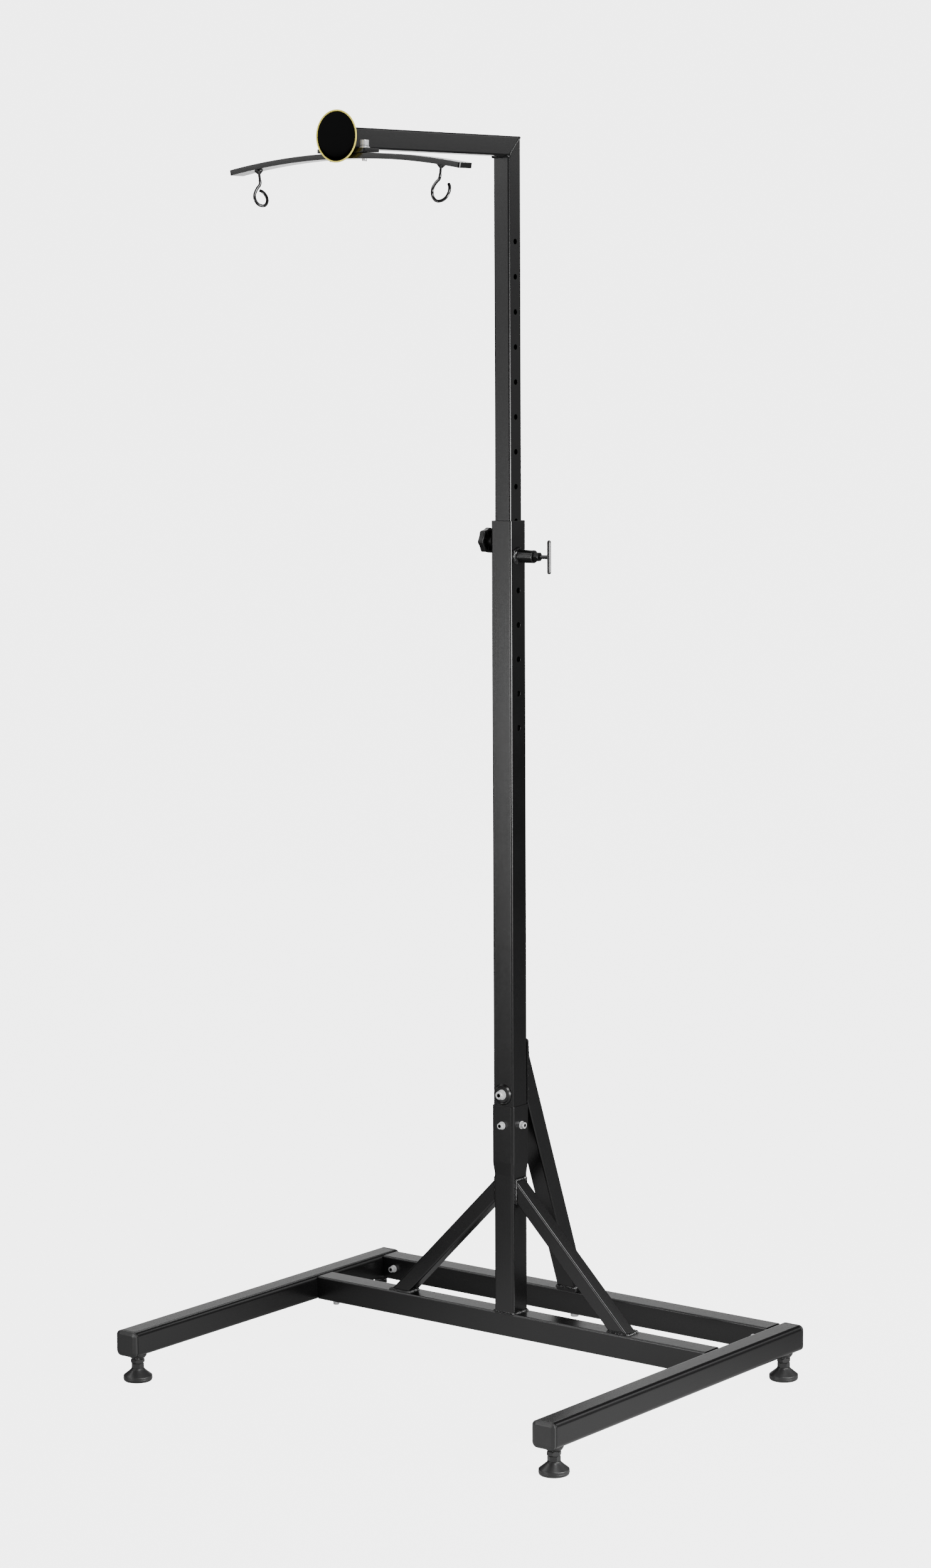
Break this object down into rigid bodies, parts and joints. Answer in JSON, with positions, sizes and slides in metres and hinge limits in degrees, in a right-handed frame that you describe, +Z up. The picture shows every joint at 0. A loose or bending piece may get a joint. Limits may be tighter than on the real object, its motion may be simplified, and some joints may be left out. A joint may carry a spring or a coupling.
{
  "type": "gong stand",
  "caption": "Floor-standing gong stand: U-shaped tube base on levelling feet, braced telescoping column with plunger lock and clamp knob, and an arm with an arched hanger bar and screw hooks.",
  "frame": {"origin": "on the floor, at the middle of the footprint of the two legs and their end caps", "axes": "+Z up the column, +X to the right along the crossbars, +Y back, away from the hanger bar"},
  "size_m": [0.8454, 0.654, 1.9295],
  "materials": {
    "powder_coat": "satin black powder coat on steel tube and flat bar",
    "zinc_steel": "bright zinc-plated steel",
    "black_plastic": "matt black moulded nylon",
    "blackened_steel": "glossy black lacquered steel wire",
    "spring_steel": "bright spring wire",
    "pale_gold": "polished pale gold plating",
    "black_lacquer": "gloss black face, bare"
  },
  "bodies": {
    "stand": {"left_leg": "powder_coat", "right_leg": "powder_coat", "front_crossbar": "powder_coat", "rear_crossbar": "powder_coat", "base_post": "powder_coat", "left_side_brace": "powder_coat", "right_side_brace": "powder_coat", "rear_brace": "powder_coat", "rear_brace_top_plate": "powder_coat", "rear_brace_foot_plate": "powder_coat", "lower_column": "powder_coat", "plunger_barrel": "powder_coat", "weld_nut": "powder_coat", "left_front_leg_cap": "black_plastic", "left_front_foot_insert": "black_plastic", "left_front_lock_nut": "black_plastic", "front_crossbar_left_screw": "zinc_steel", "left_rear_leg_cap": "black_plastic", "left_rear_foot_insert": "black_plastic", "left_rear_lock_nut": "black_plastic", "rear_crossbar_left_screw": "zinc_steel", "right_front_leg_cap": "black_plastic", "right_front_foot_insert": "black_plastic", "right_front_lock_nut": "black_plastic", "front_crossbar_right_screw": "zinc_steel", "right_rear_leg_cap": "black_plastic", "right_rear_foot_insert": "black_plastic", "right_rear_lock_nut": "black_plastic", "rear_crossbar_right_screw": "zinc_steel", "plunger_bush": "blackened_steel", "front_socket_screw": "zinc_steel", "side_socket_screw": "zinc_steel", "rear_brace_foot_bolt": "zinc_steel", "column_bolt": "zinc_steel", "column_bolt_nut": "zinc_steel", "column_bolt_washer": "black_plastic", "guide_sleeve": "black_plastic", "plunger_spring": "spring_steel"},
    "mast": {"upper_column": "powder_coat", "upper_column_foot_plug": "black_plastic", "arm": "powder_coat", "arm_end_plug": "black_plastic", "badge_rim": "pale_gold", "badge_face": "black_lacquer", "mount_plate": "powder_coat", "hanger_bar": "powder_coat", "mount_plate_left_screw": "zinc_steel", "mount_plate_right_screw": "zinc_steel", "left_hook_nut": "blackened_steel", "right_hook_nut": "blackened_steel"},
    "pin": {"plunger_pin": "blackened_steel"},
    "clamp": {"clamp_stud": "zinc_steel"},
    "knob": {"star_knob": "black_plastic"},
    "left_hook": {"left_screw_hook": "blackened_steel"},
    "right_hook": {"right_screw_hook": "blackened_steel"},
    "left_front_foot": {"left_front_levelling_foot": "black_plastic"},
    "left_rear_foot": {"left_rear_levelling_foot": "black_plastic"},
    "right_front_foot": {"right_front_levelling_foot": "black_plastic"},
    "right_rear_foot": {"right_rear_levelling_foot": "black_plastic"}
  },
  "joints": [
    {"name": "height_slide", "type": "slide", "parent": "stand", "child": "mast", "axis": [0, 0, 1], "range_m": [-0.477, 0.159]},
    {"name": "plunger_pull", "type": "slide", "parent": "stand", "child": "pin", "axis": [1, 0, 0], "range_m": [0, 0.01], "stiffness_N_per_m": 1000, "springref_m": -0.01, "deforming": ["plunger_spring"]},
    {"name": "clamp_travel", "type": "slide", "parent": "stand", "child": "clamp", "axis": [-1, 0, 0], "range_m": [0, 0.0026]},
    {"name": "knob_turn", "type": "hinge", "parent": "clamp", "child": "knob", "pos_m": [-0.04, 0.131, 1.292], "axis": [-1, 0, 0], "range_deg": [0, 720]},
    {"name": "left_front_foot_height", "type": "slide", "parent": "stand", "child": "left_front_foot", "axis": [0, 0, -1], "range_m": [0, 0.015]},
    {"name": "left_rear_foot_height", "type": "slide", "parent": "stand", "child": "left_rear_foot", "axis": [0, 0, -1], "range_m": [0, 0.015]},
    {"name": "right_front_foot_height", "type": "slide", "parent": "stand", "child": "right_front_foot", "axis": [0, 0, -1], "range_m": [0, 0.015]},
    {"name": "right_rear_foot_height", "type": "slide", "parent": "stand", "child": "right_rear_foot", "axis": [0, 0, -1], "range_m": [0, 0.015]},
    {"name": "left_hook_swivel", "type": "hinge", "parent": "mast", "child": "left_hook", "pos_m": [-0.16394, -0.248, 1.80987], "axis": [-0.1412, 0, 0.99], "range_deg": [-180, 180]},
    {"name": "right_hook_swivel", "type": "hinge", "parent": "mast", "child": "right_hook", "pos_m": [0.16394, -0.248, 1.80987], "axis": [0.1412, 0, 0.99], "range_deg": [-180, 180]}
  ],
  "couplings": [
    {"joint": "clamp_travel", "follows": "knob_turn", "m_per_rad": 0.00019894}
  ]
}
